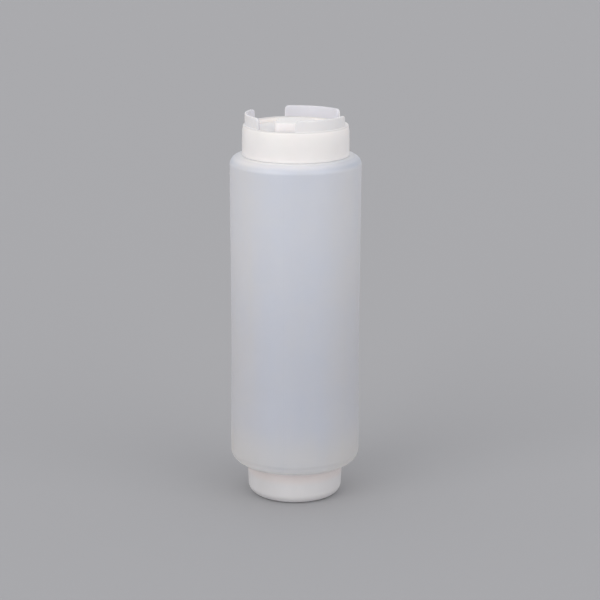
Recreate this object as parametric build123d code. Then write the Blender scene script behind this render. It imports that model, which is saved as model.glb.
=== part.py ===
from build123d import *
import os
from math import cos, radians, sqrt, tan

# A squeeze bottle for sauces that opens at both ends. It stands on its refill cap, and the dispensing cap on
# top carries a flip lid over a slit valve inside a ring of three raised feet.
# Millimetres, +Z up, origin at the centre of the face that the bottle stands on.

# ---- Driving dimensions -------------------------------------------------------------------------------

# Bottle barrel
BARREL_LENGTH = 170.3  # between the two shoulders, measured beside the caps
BARREL_BOTTOM_RADIUS = 35.0
BARREL_TOP_RADIUS = 35.1
BARREL_WAIST_DEPTH = 0.4  # how far a filled and cooled barrel pulls in
BARREL_WAIST_PLACE = 0.42  # share of the straight side below the waist
BOTTLE_WALL = 1.3
LOWER_SHOULDER_SLOPE = 14.3  # degrees
LOWER_SHOULDER_ROUNDING = 6.5
UPPER_SHOULDER_SLOPE = 8.0  # degrees
UPPER_SHOULDER_ROUNDING = 5.0

# Necks
UPPER_NECK_RADIUS = 24.9
LOWER_NECK_RADIUS = 22.4
NECK_WALL = 1.6
NECK_RIM_ROUNDING = 0.4
NECK_ROOT_ROUNDING = 0.8

# Threads, six to the inch on both necks
THREAD_PITCH = 25.4 / 6
THREAD_DEPTH = 1.3
THREAD_ROOT_WIDTH = 2.2
THREAD_CREST_WIDTH = 0.9
THREAD_TURNS = 1.25
THREAD_CLEARANCE = 0.4  # crest to wall, on either side
THREAD_ROOT_SINK = 0.3  # how far the ridge runs into the wall that it stands on
UPPER_THREAD_SETBACK = 1.9  # rim to the middle of the ridge
LOWER_THREAD_SETBACK = 2.2
CAP_THREAD_DELAY = 0.25  # turns by which the ridge in a cap starts later than the neck's

# Refill cap, which the bottle stands on
REFILL_CAP_HEIGHT = 16.8
REFILL_CAP_WALL = 1.85  # at the open edge
REFILL_CAP_DRAFT = 0.75  # how much smaller its base is, in radius
REFILL_CAP_CORNER = 5.3
REFILL_CAP_SEAT = 3.8  # height of the gasket's seat
REFILL_CAP_PLATE = 2.0
REFILL_CAP_INNER_CORNER = 1.2
BASE_RECESS_DEPTH = 0.8
BASE_RECESS_RADIUS = 16.4
REFILL_GASKET_THICKNESS = 1.2
GASKET_OVERHANG = 1.4  # how far a gasket reaches inside its neck's bore
GASKET_SIDE_CLEARANCE = 0.4

# Dispensing cap
DISPENSING_CAP_HEIGHT = 15.6
DISPENSING_CAP_WALL = 1.75  # at the top of the skirt
DISPENSING_CAP_DRAFT = 0.3
RIM_TAPER_WIDTH = 0.45
RIM_TAPER_HEIGHT = 3.2
RIM_WIDTH = 2.6  # the flat ring outside the recess
RIM_ROUNDING = 0.4
RECESS_DEPTH = 2.5
RECESS_ROUNDING = 0.5
DECK_THICKNESS = 1.9
DISPENSING_GASKET_THICKNESS = 1.1
CAP_TO_SHOULDER_GAP = 0.4

# Feet on the dispensing cap
FOOT_COUNT = 3
FOOT_BEARING = 66.1  # degrees, middle of the first foot, anticlockwise from +X
FOOT_SPAN = 73.7  # degrees
FOOT_HEIGHT = 6.0
FOOT_THICKNESS = 1.6
FOOT_SETBACK = 0.8  # from the outside of the rim
FOOT_CORNER = 2.2
FOOT_EDGE_ROUNDING = 0.35

# Spout ring and slit valve
SPOUT_RADIUS = 6.9
SPOUT_RING_WALL = 1.7
SPOUT_RING_HEIGHT = 1.8
VALVE_FLANGE_RADIUS = 10.2
VALVE_FLANGE_THICKNESS = 1.2
VALVE_SLEEVE_RADIUS = 5.6
VALVE_SLEEVE_WALL = 0.9
VALVE_HEAD_THICKNESS = 0.6
VALVE_HEAD_DROP = 1.6  # top of the flange to the top of the head
SLIT_HALF_LENGTH = 4.6
SLIT_GAP = 0.12
FLAP_BEVEL = 35.0  # degrees, so that the undersides clear each other as the flaps bend
FLAP_COUNT = 4
FLAP_BEARING = 45.0  # degrees, middle of the first flap

# Valve retainer and the boss that it snaps into
RETAINER_THICKNESS = 1.8
RETAINER_SIDE_CLEARANCE = 0.1
BOSS_WALL = 1.5
BOSS_BORE_CLEARANCE = 0.3  # valve flange to boss
BOSS_LENGTH = 4.4
SNAP_BEAD_DEPTH = 0.4
SNAP_BEAD_HEIGHT = 0.9
SNAP_BEAD_CLEARANCE = 0.05

# Flip lid
LID_RADIUS = 10.6
LID_WALL = 1.3
LID_TOP_THICKNESS = 1.4
LID_TOP_ABOVE_RIM = 2.3
LID_CORNER = 1.0
LID_DECK_CLEARANCE = 0.5
PLUG_CLEARANCE = 0.4
PLUG_WALL = 1.1
PLUG_LENGTH = 2.6
THUMB_BLOCK_WIDTH = 22.0
THUMB_BLOCK_DEPTH = 6.5
THUMB_BLOCK_REACH = 1.4  # from the side of the round cover to the block's flat front
THUMB_BLOCK_RAISE = 0.3  # its lower edge above the cover's, for a nail
THUMB_BLOCK_ROUNDING = 2.0
THUMB_BLOCK_EDGE_ROUNDING = 0.4

# Lid hinge
HINGE_BEARING = 90.0  # degrees, anticlockwise from +X
HINGE_OFFSET = 13.0  # axis to the middle of the cap
HINGE_ABOVE_DECK = 1.9
HINGE_BARREL_RADIUS = 1.1
HINGE_BARREL_HALF_WIDTH = 3.8
TRUNNION_RADIUS = 0.75
TRUNNION_CLEARANCE = 0.05
TRUNNION_LENGTH = 1.4
EAR_CLEARANCE = 0.3
EAR_THICKNESS = 1.6
EAR_ROUNDING = 1.7
ARM_THICKNESS = 1.6

SMALL_ROUNDING = 0.3
SHARP = 0.0

# ---- Places worked out from the driving dimensions ----------------------------------------------------

lower_slope = radians(LOWER_SHOULDER_SLOPE)
upper_slope = radians(UPPER_SHOULDER_SLOPE)

lower_cap_bore = LOWER_NECK_RADIUS + THREAD_DEPTH + THREAD_CLEARANCE
upper_cap_bore = UPPER_NECK_RADIUS + THREAD_DEPTH + THREAD_CLEARANCE
refill_cap_radius = lower_cap_bore + REFILL_CAP_WALL
dispensing_cap_radius = upper_cap_bore + DISPENSING_CAP_WALL

# The lower shoulder falls towards the neck, so the gap is kept at the cap's bore.
lower_shoulder_z = REFILL_CAP_HEIGHT + CAP_TO_SHOULDER_GAP + REFILL_CAP_WALL * tan(lower_slope)
upper_shoulder_z = lower_shoulder_z + BARREL_LENGTH
lower_rim_z = REFILL_CAP_SEAT + REFILL_GASKET_THICKNESS

skirt_z = upper_shoulder_z + CAP_TO_SHOULDER_GAP
rim_z = skirt_z + DISPENSING_CAP_HEIGHT
deck_z = rim_z - RECESS_DEPTH
deck_underside_z = deck_z - DECK_THICKNESS
upper_rim_z = deck_underside_z - DISPENSING_GASKET_THICKNESS
rim_radius = dispensing_cap_radius - RIM_TAPER_WIDTH
foot_radius = rim_radius - FOOT_SETBACK
recess_radius = rim_radius - RIM_WIDTH

lower_thread_z = lower_rim_z + LOWER_THREAD_SETBACK
upper_thread_z = upper_rim_z - UPPER_THREAD_SETBACK - THREAD_TURNS * THREAD_PITCH
cap_thread_turns = THREAD_TURNS - CAP_THREAD_DELAY

valve_flange_z = deck_underside_z - VALVE_FLANGE_THICKNESS
valve_head_z = deck_underside_z - VALVE_HEAD_DROP
retainer_z = valve_flange_z - RETAINER_THICKNESS
boss_bore = VALVE_FLANGE_RADIUS + BOSS_BORE_CLEARANCE
flap_base = SLIT_HALF_LENGTH / sqrt(2)

lid_top_z = rim_z + LID_TOP_ABOVE_RIM
lid_roof_z = lid_top_z - LID_TOP_THICKNESS
lid_edge_z = deck_z + LID_DECK_CLEARANCE
hinge_z = deck_z + HINGE_ABOVE_DECK
ear_inner_face = HINGE_BARREL_HALF_WIDTH + EAR_CLEARANCE


# ---- Helpers ------------------------------------------------------------------------------------------


def turned(corners, arc=360.0):
    """A solid of revolution about Z from corners given as (radius, height, rounding)."""
    points = [(corner[0], corner[1]) for corner in corners]
    roundings = [corner[2] for corner in corners]
    outline = FilletPolyline(*points, radius=roundings, close=True)
    return revolve(Plane.XZ * make_face(outline), Axis.Z, arc)


def ring(inner_radius, outer_radius, bottom_z, top_z, rounding):
    """A turned ring with a rectangular section and rounded edges."""
    return turned(
        [
            (inner_radius, bottom_z, rounding),
            (outer_radius, bottom_z, rounding),
            (outer_radius, top_z, rounding),
            (inner_radius, top_z, rounding),
        ]
    )


def thread_ridge(wall_radius, outward, start_z, turns, delay=0.0):
    """A right-handed ridge on a wall, standing outward (1) or inward (-1), that starts `delay` turns late."""
    foot_offset = -THREAD_ROOT_SINK * outward
    crest_offset = THREAD_DEPTH * outward
    path = Helix(THREAD_PITCH, THREAD_PITCH * turns, wall_radius)
    section = Plane(origin=path @ 0, x_dir=(1, 0, 0), z_dir=path % 0)
    outline = Polyline(
        (foot_offset, -THREAD_ROOT_WIDTH / 2),
        (crest_offset, -THREAD_CREST_WIDTH / 2),
        (crest_offset, THREAD_CREST_WIDTH / 2),
        (foot_offset, THREAD_ROOT_WIDTH / 2),
        close=True,
    )
    ridge = sweep(section * make_face(outline), path=path, is_frenet=True)
    return Pos(0, 0, start_z + delay * THREAD_PITCH) * Rot(0, 0, 360 * delay) * ridge


def edges_at(part, radius, height, reach=0.05):
    """The round edges of a part about Z at one radius and height."""

    def matches(edge):
        point = edge @ 0
        return abs(sqrt(point.X**2 + point.Y**2) - radius) < reach and abs(point.Z - height) < reach

    return part.edges().filter_by(GeomType.CIRCLE).filter_by(matches)


# ---- Bottle -------------------------------------------------------------------------------------------


def barrel_solid(inset):
    """The barrel without its necks, closed to the axis, moved in by `inset` all round."""
    lower_centre_radius = BARREL_BOTTOM_RADIUS - LOWER_SHOULDER_ROUNDING
    lower_centre_z = lower_shoulder_z + (lower_centre_radius - refill_cap_radius) * tan(lower_slope)
    lower_centre_z += LOWER_SHOULDER_ROUNDING / cos(lower_slope)
    lower_round = LOWER_SHOULDER_ROUNDING - inset

    upper_centre_radius = BARREL_TOP_RADIUS - UPPER_SHOULDER_ROUNDING
    upper_centre_z = upper_shoulder_z - (upper_centre_radius - dispensing_cap_radius) * tan(upper_slope)
    upper_centre_z -= UPPER_SHOULDER_ROUNDING / cos(upper_slope)
    upper_round = UPPER_SHOULDER_ROUNDING - inset

    lower_arc = CenterArc(
        (lower_centre_radius, lower_centre_z),
        lower_round,
        LOWER_SHOULDER_SLOPE - 90,
        90 - LOWER_SHOULDER_SLOPE,
    )
    upper_arc = CenterArc((upper_centre_radius, upper_centre_z), upper_round, 0, 90 - UPPER_SHOULDER_SLOPE)
    waist_radius = BARREL_BOTTOM_RADIUS - BARREL_WAIST_DEPTH - inset
    waist_z = lower_centre_z + BARREL_WAIST_PLACE * (upper_centre_z - lower_centre_z)
    side = Spline(lower_arc @ 1, (waist_radius, waist_z), upper_arc @ 0, tangents=[(0, 1), (0, 1)])

    lower_axis_z = (lower_arc @ 0).Y - (lower_arc @ 0).X * tan(lower_slope)
    upper_axis_z = (upper_arc @ 1).Y + (upper_arc @ 1).X * tan(upper_slope)
    lower_line = Line((0, lower_axis_z), lower_arc @ 0)
    upper_line = Line(upper_arc @ 1, (0, upper_axis_z))
    axis_line = Line((0, upper_axis_z), (0, lower_axis_z))
    outline = lower_line + lower_arc + side + upper_arc + upper_line + axis_line
    return revolve(Plane.XZ * make_face(outline), Axis.Z)


def bottle_body():
    """The blown bottle: one open shell with a threaded neck at each end."""
    middle_z = (lower_shoulder_z + upper_shoulder_z) / 2
    upper_neck = Pos(0, 0, middle_z) * Cylinder(
        UPPER_NECK_RADIUS, upper_rim_z - middle_z, align=(Align.CENTER, Align.CENTER, Align.MIN)
    )
    lower_neck = Pos(0, 0, lower_rim_z) * Cylinder(
        LOWER_NECK_RADIUS, middle_z - lower_rim_z, align=(Align.CENTER, Align.CENTER, Align.MIN)
    )
    outside = barrel_solid(0) + upper_neck + lower_neck
    upper_root_z = upper_shoulder_z + (dispensing_cap_radius - UPPER_NECK_RADIUS) * tan(upper_slope)
    lower_root_z = lower_shoulder_z - (refill_cap_radius - LOWER_NECK_RADIUS) * tan(lower_slope)
    roots = edges_at(outside, UPPER_NECK_RADIUS, upper_root_z)
    roots += edges_at(outside, LOWER_NECK_RADIUS, lower_root_z)
    outside = fillet(roots, NECK_ROOT_ROUNDING)

    upper_bore = UPPER_NECK_RADIUS - NECK_WALL
    lower_bore = LOWER_NECK_RADIUS - NECK_WALL
    inside = barrel_solid(BOTTLE_WALL)
    inside += Pos(0, 0, middle_z) * Cylinder(
        upper_bore, upper_rim_z - middle_z, align=(Align.CENTER, Align.CENTER, Align.MIN)
    )
    inside += Pos(0, 0, lower_rim_z) * Cylinder(
        lower_bore, middle_z - lower_rim_z, align=(Align.CENTER, Align.CENTER, Align.MIN)
    )
    shell = outside - inside
    rims = edges_at(shell, UPPER_NECK_RADIUS, upper_rim_z) + edges_at(shell, upper_bore, upper_rim_z)
    rims += edges_at(shell, LOWER_NECK_RADIUS, lower_rim_z) + edges_at(shell, lower_bore, lower_rim_z)
    shell = fillet(rims, NECK_RIM_ROUNDING)
    shell += thread_ridge(UPPER_NECK_RADIUS, 1, upper_thread_z, THREAD_TURNS)
    shell += thread_ridge(LOWER_NECK_RADIUS, 1, lower_thread_z, THREAD_TURNS)
    return shell


# ---- Refill end ---------------------------------------------------------------------------------------


def refill_cap():
    """The plain threaded cap that the bottle stands on."""
    base_radius = refill_cap_radius - REFILL_CAP_DRAFT
    seat_inner_radius = LOWER_NECK_RADIUS - NECK_WALL - GASKET_OVERHANG - SMALL_ROUNDING
    plate_top_z = BASE_RECESS_DEPTH + REFILL_CAP_PLATE
    cup = turned(
        [
            (BASE_RECESS_RADIUS, 0, SMALL_ROUNDING),
            (base_radius, 0, REFILL_CAP_CORNER),
            (refill_cap_radius, REFILL_CAP_HEIGHT, SMALL_ROUNDING),
            (lower_cap_bore, REFILL_CAP_HEIGHT, SMALL_ROUNDING),
            (lower_cap_bore, REFILL_CAP_SEAT, REFILL_CAP_INNER_CORNER),
            (seat_inner_radius, REFILL_CAP_SEAT, SMALL_ROUNDING),
            (seat_inner_radius, plate_top_z, SMALL_ROUNDING),
            (0, plate_top_z, SHARP),
            (0, BASE_RECESS_DEPTH, SHARP),
            (BASE_RECESS_RADIUS, BASE_RECESS_DEPTH, SMALL_ROUNDING),
        ]
    )
    # The ridge in this cap lies half a pitch above the neck's, so that turning the cap pulls the rim down.
    ridge_z = lower_thread_z + THREAD_PITCH / 2
    return cup + thread_ridge(lower_cap_bore, -1, ridge_z, cap_thread_turns)


def refill_gasket():
    """The flat ring between the refill cap and the lower neck's rim."""
    inner_radius = LOWER_NECK_RADIUS - NECK_WALL - GASKET_OVERHANG
    outer_radius = lower_cap_bore - REFILL_CAP_INNER_CORNER - GASKET_SIDE_CLEARANCE
    return ring(inner_radius, outer_radius, REFILL_CAP_SEAT, lower_rim_z, SMALL_ROUNDING)


# ---- Dispensing end -----------------------------------------------------------------------------------


def hinge_frame():
    """The hinge's place: X points away from the middle of the cap and Y lies along the axis."""
    return Rot(0, 0, HINGE_BEARING) * Pos(HINGE_OFFSET, 0, hinge_z)


def cap_shell():
    """Skirt, rim, recessed deck, spout ring and the valve's boss, as one turned solid."""
    spout_top_z = deck_z + SPOUT_RING_HEIGHT
    spout_outer = SPOUT_RADIUS + SPOUT_RING_WALL
    boss_outer = boss_bore + BOSS_WALL
    boss_end_z = deck_underside_z - BOSS_LENGTH
    bead_z = retainer_z - SNAP_BEAD_CLEARANCE
    return turned(
        [
            (dispensing_cap_radius + DISPENSING_CAP_DRAFT, skirt_z, SMALL_ROUNDING),
            (dispensing_cap_radius, rim_z - RIM_TAPER_HEIGHT, SHARP),
            (rim_radius, rim_z, RIM_ROUNDING),
            (recess_radius, rim_z, RIM_ROUNDING),
            (recess_radius, deck_z, RECESS_ROUNDING),
            (spout_outer, deck_z, RECESS_ROUNDING),
            (spout_outer, spout_top_z, SMALL_ROUNDING),
            (SPOUT_RADIUS, spout_top_z, SMALL_ROUNDING),
            (SPOUT_RADIUS, deck_underside_z, SHARP),
            (boss_bore, deck_underside_z, SHARP),
            (boss_bore, bead_z, SHARP),
            (boss_bore - SNAP_BEAD_DEPTH, bead_z - SNAP_BEAD_HEIGHT / 2, SHARP),
            (boss_bore, bead_z - SNAP_BEAD_HEIGHT, SHARP),
            (boss_bore, boss_end_z, SHARP),
            (boss_outer, boss_end_z, SMALL_ROUNDING),
            (boss_outer, deck_underside_z, RECESS_ROUNDING),
            (upper_cap_bore, deck_underside_z, RECESS_ROUNDING),
            (upper_cap_bore, skirt_z, SMALL_ROUNDING),
        ]
    )


def foot_wall():
    """One raised arc wall, its middle on +X, its upper corners rounded."""
    top_z = rim_z + FOOT_HEIGHT
    sink_z = rim_z - RIM_ROUNDING
    wall = turned(
        [
            (foot_radius - FOOT_THICKNESS, sink_z, SHARP),
            (foot_radius, sink_z, SHARP),
            (foot_radius, top_z, SHARP),
            (foot_radius - FOOT_THICKNESS, top_z, SHARP),
        ],
        FOOT_SPAN,
    )
    wall = fillet(wall.edges().group_by(Axis.Z)[-1].filter_by(GeomType.LINE), FOOT_CORNER)
    wall = fillet(wall.edges().group_by(Axis.Z)[-1].filter_by(GeomType.CIRCLE), FOOT_EDGE_ROUNDING)
    return Rot(0, 0, -FOOT_SPAN / 2) * wall


def hinge_ear(side):
    """One drilled ear of the lid's hinge, on the +Y (1) or -Y (-1) side of the hinge frame."""
    profile = Polyline(
        (-EAR_ROUNDING, -HINGE_ABOVE_DECK - SMALL_ROUNDING),
        (EAR_ROUNDING, -HINGE_ABOVE_DECK - SMALL_ROUNDING),
        (EAR_ROUNDING, 0),
        (-EAR_ROUNDING, 0),
        close=True,
    )
    face = make_face(profile) + Circle(EAR_ROUNDING) - Circle(TRUNNION_RADIUS + TRUNNION_CLEARANCE)
    near_face = side * ear_inner_face
    # Plane.XZ looks along -Y, so a plate on the +Y side is extruded backwards.
    plate = extrude(Plane.XZ.offset(-near_face) * face, -side * EAR_THICKNESS)
    return hinge_frame() * plate


def dispensing_cap():
    """The threaded cap with its feet and hinge ears."""
    cap = cap_shell()
    ridge_z = upper_thread_z - THREAD_PITCH / 2
    cap += thread_ridge(upper_cap_bore, -1, ridge_z, cap_thread_turns, CAP_THREAD_DELAY)
    for index in range(FOOT_COUNT):
        cap += Rot(0, 0, FOOT_BEARING + index * 360 / FOOT_COUNT) * foot_wall()
    for side in (-1, 1):
        cap += hinge_ear(side)
    return cap


def dispensing_gasket():
    """The flat ring between the deck and the upper neck's rim."""
    inner_radius = UPPER_NECK_RADIUS - NECK_WALL - GASKET_OVERHANG
    outer_radius = upper_cap_bore - GASKET_SIDE_CLEARANCE - RECESS_ROUNDING
    return ring(inner_radius, outer_radius, upper_rim_z, deck_underside_z, SMALL_ROUNDING)


def slit_valve():
    """The silicone valve without its flaps: flange, short sleeve, and a head with a square opening."""
    sleeve_outer = VALVE_SLEEVE_RADIUS + VALVE_SLEEVE_WALL
    head_bottom_z = valve_head_z - VALVE_HEAD_THICKNESS
    disc = turned(
        [
            (0, head_bottom_z, SHARP),
            (sleeve_outer, head_bottom_z, SMALL_ROUNDING),
            (sleeve_outer, valve_flange_z, SHARP),
            (VALVE_FLANGE_RADIUS, valve_flange_z, SMALL_ROUNDING),
            (VALVE_FLANGE_RADIUS, deck_underside_z, SMALL_ROUNDING),
            (VALVE_SLEEVE_RADIUS, deck_underside_z, SMALL_ROUNDING),
            (VALVE_SLEEVE_RADIUS, valve_head_z, SMALL_ROUNDING),
            (0, valve_head_z, SHARP),
        ]
    )
    opening_height = 4 * VALVE_HEAD_THICKNESS  # centred on the head's top, so it runs well past its underside
    opening = Rot(0, 0, FLAP_BEARING) * Box(2 * flap_base, 2 * flap_base, opening_height)
    return disc - Pos(0, 0, valve_head_z) * opening


def valve_flap(index):
    """One of the head's flaps, which lies between two arms of the cross slit."""
    apex = SLIT_GAP / sqrt(2)
    base = flap_base - SLIT_GAP
    triangle = Polyline((apex, 0), (base, base - apex), (base, apex - base), close=True)
    flap = extrude(make_face(triangle), VALVE_HEAD_THICKNESS, dir=(0, 0, -1), taper=FLAP_BEVEL)
    return Rot(0, 0, FLAP_BEARING + index * 360 / FLAP_COUNT) * Pos(0, 0, valve_head_z) * flap


def valve_retainer():
    """The ring that snaps into the boss and clamps the valve's flange."""
    outer_radius = boss_bore - RETAINER_SIDE_CLEARANCE
    return ring(SPOUT_RADIUS, outer_radius, retainer_z, valve_flange_z, SMALL_ROUNDING)


def lid_cover():
    """The round cover with its skirt and the plug ring that closes the spout."""
    plug_outer = SPOUT_RADIUS - PLUG_CLEARANCE
    plug_inner = plug_outer - PLUG_WALL
    plug_end_z = lid_roof_z - PLUG_LENGTH
    skirt_inner = LID_RADIUS - LID_WALL
    return turned(
        [
            (0, lid_roof_z, SHARP),
            (plug_inner, lid_roof_z, SMALL_ROUNDING),
            (plug_inner, plug_end_z, SMALL_ROUNDING),
            (plug_outer, plug_end_z, SMALL_ROUNDING),
            (plug_outer, lid_roof_z, SMALL_ROUNDING),
            (skirt_inner, lid_roof_z, SMALL_ROUNDING),
            (skirt_inner, lid_edge_z, SMALL_ROUNDING),
            (LID_RADIUS, lid_edge_z, SMALL_ROUNDING),
            (LID_RADIUS, lid_top_z, LID_CORNER),
            (0, lid_top_z, SHARP),
        ]
    )


def thumb_block():
    """The flat-fronted block opposite the hinge that a thumb lifts, cored from below beside the cover."""
    front = LID_RADIUS + THUMB_BLOCK_REACH
    bottom_z = lid_edge_z + THUMB_BLOCK_RAISE
    core_front = LID_RADIUS - LID_WALL / 2
    core_back = front - THUMB_BLOCK_DEPTH + LID_WALL
    core_height = lid_roof_z - bottom_z
    against_front = (Align.MAX, Align.CENTER, Align.MIN)
    on_axis = (Align.CENTER, Align.CENTER, Align.MIN)

    block = Box(THUMB_BLOCK_DEPTH, THUMB_BLOCK_WIDTH, lid_top_z - bottom_z, align=against_front)
    block = fillet(block.edges().filter_by(Axis.Z), THUMB_BLOCK_ROUNDING)
    block = fillet(block.edges().group_by(Axis.Z)[-1], THUMB_BLOCK_EDGE_ROUNDING)
    block = Pos(front, 0, 0) * block
    core = Box(core_front - core_back, THUMB_BLOCK_WIDTH - 2 * LID_WALL, core_height, align=against_front)
    core = Pos(core_front, 0, 0) * core - Cylinder(LID_RADIUS, core_height, align=on_axis)
    block -= core
    block -= Cylinder(core_front, core_height, align=on_axis)
    return Rot(0, 0, HINGE_BEARING + 180) * Pos(0, 0, bottom_z) * block


def flip_lid():
    """The flip lid: cover, thumb block, and a hinge barrel with a trunnion at each end."""
    barrel = Rot(90, 0, 0) * Cylinder(HINGE_BARREL_RADIUS, 2 * HINGE_BARREL_HALF_WIDTH)
    trunnion_half_length = ear_inner_face + TRUNNION_LENGTH
    barrel += Rot(90, 0, 0) * Cylinder(TRUNNION_RADIUS, 2 * trunnion_half_length)
    arm_length = HINGE_OFFSET - LID_RADIUS + LID_WALL / 2
    arm = Box(
        arm_length,
        2 * HINGE_BARREL_HALF_WIDTH,
        ARM_THICKNESS,
        align=(Align.MAX, Align.CENTER, Align.CENTER),
    )
    return lid_cover() + thumb_block() + hinge_frame() * (barrel + arm)


# ---- Files --------------------------------------------------------------------------------------------


def all_nodes():
    """Each node's name and solid."""
    nodes = {
        "bottle_body": bottle_body(),
        "refill_cap": refill_cap(),
        "refill_gasket": refill_gasket(),
        "dispensing_cap": dispensing_cap(),
        "dispensing_gasket": dispensing_gasket(),
        "slit_valve": slit_valve(),
        "valve_retainer": valve_retainer(),
        "flip_lid": flip_lid(),
    }
    for index in range(FLAP_COUNT):
        nodes[f"valve_flap_{index + 1}"] = valve_flap(index)
    return nodes


def report_places():
    """Print the places that the joints and openings need."""
    print(f"thread lead {THREAD_PITCH:.4f}")
    print(f"upper rim {upper_rim_z:.3f}, skirt {skirt_z:.3f}, rim {rim_z:.3f}, deck {deck_z:.3f}")
    print(f"lower rim {lower_rim_z:.3f}, feet top {rim_z + FOOT_HEIGHT:.3f}, foot radius {foot_radius:.3f}")
    print(f"lid hinge at offset {HINGE_OFFSET:.3f}, height {hinge_z:.3f}, bearing {HINGE_BEARING:.1f}")
    print(f"flap hinges at offset {flap_base:.4f}, height {valve_head_z:.3f}")


os.makedirs("parts", exist_ok=True)
for name, solid in all_nodes().items():
    export_step(solid, f"parts/{name}.step")
report_places()
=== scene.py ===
"""The looks of a double-ended squeeze bottle for sauces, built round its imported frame.

Every size field is in millimetres and becomes metres as a mesh is made. Heights that other pieces share are
read from the frame, so that each moulding stands where its node stands.
"""

import logging
import math
from collections.abc import Callable, Sequence
from dataclasses import dataclass
from enum import Enum
from functools import cached_property

import bpy
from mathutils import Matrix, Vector


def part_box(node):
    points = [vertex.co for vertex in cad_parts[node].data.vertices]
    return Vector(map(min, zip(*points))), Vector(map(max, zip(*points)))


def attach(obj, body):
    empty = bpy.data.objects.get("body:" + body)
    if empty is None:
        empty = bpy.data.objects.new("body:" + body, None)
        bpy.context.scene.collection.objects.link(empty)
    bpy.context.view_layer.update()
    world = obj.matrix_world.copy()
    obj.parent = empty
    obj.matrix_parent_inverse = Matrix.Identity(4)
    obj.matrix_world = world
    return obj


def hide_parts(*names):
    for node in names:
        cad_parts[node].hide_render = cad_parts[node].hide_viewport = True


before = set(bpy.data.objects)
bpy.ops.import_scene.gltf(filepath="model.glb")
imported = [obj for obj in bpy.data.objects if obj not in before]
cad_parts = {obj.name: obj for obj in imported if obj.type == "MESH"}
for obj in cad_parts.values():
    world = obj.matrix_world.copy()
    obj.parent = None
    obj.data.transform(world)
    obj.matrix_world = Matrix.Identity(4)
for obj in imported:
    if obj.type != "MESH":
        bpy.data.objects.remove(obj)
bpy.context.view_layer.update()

LOG = logging.getLogger("squeeze_bottle")
MM = 0.001
WELD = 1e-7  # Metres within which two points are one.
LEVEL = 1e-6  # Metres within which two heights are the same.
SAME_BEARING = 0.2  # Degrees within which two bearings are the same.
SAME_RADIUS = 0.05  # Millimetres within which two radii are the same.
PLAIN = (1.0, 1.0, 1.0)
Colour = tuple[float, float, float]
Band = tuple[float, float]
Inputs = dict[int | str, object]
Piece = bpy.types.Object
PlaceTest = Callable[[list[Vector]], bool]


class Part(Enum):
    """What edit mode selects."""

    VERTICES = "VERT"
    EDGES = "EDGE"


class Side(Enum):
    """Which way a thread stands from its wall."""

    OUTWARD = 1
    INWARD = -1


class Axis(Enum):
    """An axis of the frame, by its place among a graph's coordinates."""

    X = 1
    Y = 2
    Z = 3


@dataclass(frozen=True)
class Corner:
    """A corner of a turned outline.

    Args:
        radius: Distance from the bottle's axis.
        height: Height above the face that the bottle stands on.
        rounding: Radius of the rounded corner, or 0 for a sharp one.
    """

    radius: float
    height: float
    rounding: float = 0.0

    def point(self) -> Vector:
        """The corner's place in metres, on the XZ plane."""
        return Vector((self.radius * MM, 0.0, self.height * MM))


def lowest(node: str) -> float:
    """The height of a node's lowest point, in millimetres."""
    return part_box(node)[0].z / MM


def highest(node: str) -> float:
    """The height of a node's highest point, in millimetres."""
    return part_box(node)[1].z / MM


def metres(values: Sequence[float]) -> list[float]:
    """A place or size in millimetres, in metres."""
    return [value * MM for value in values]


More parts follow.
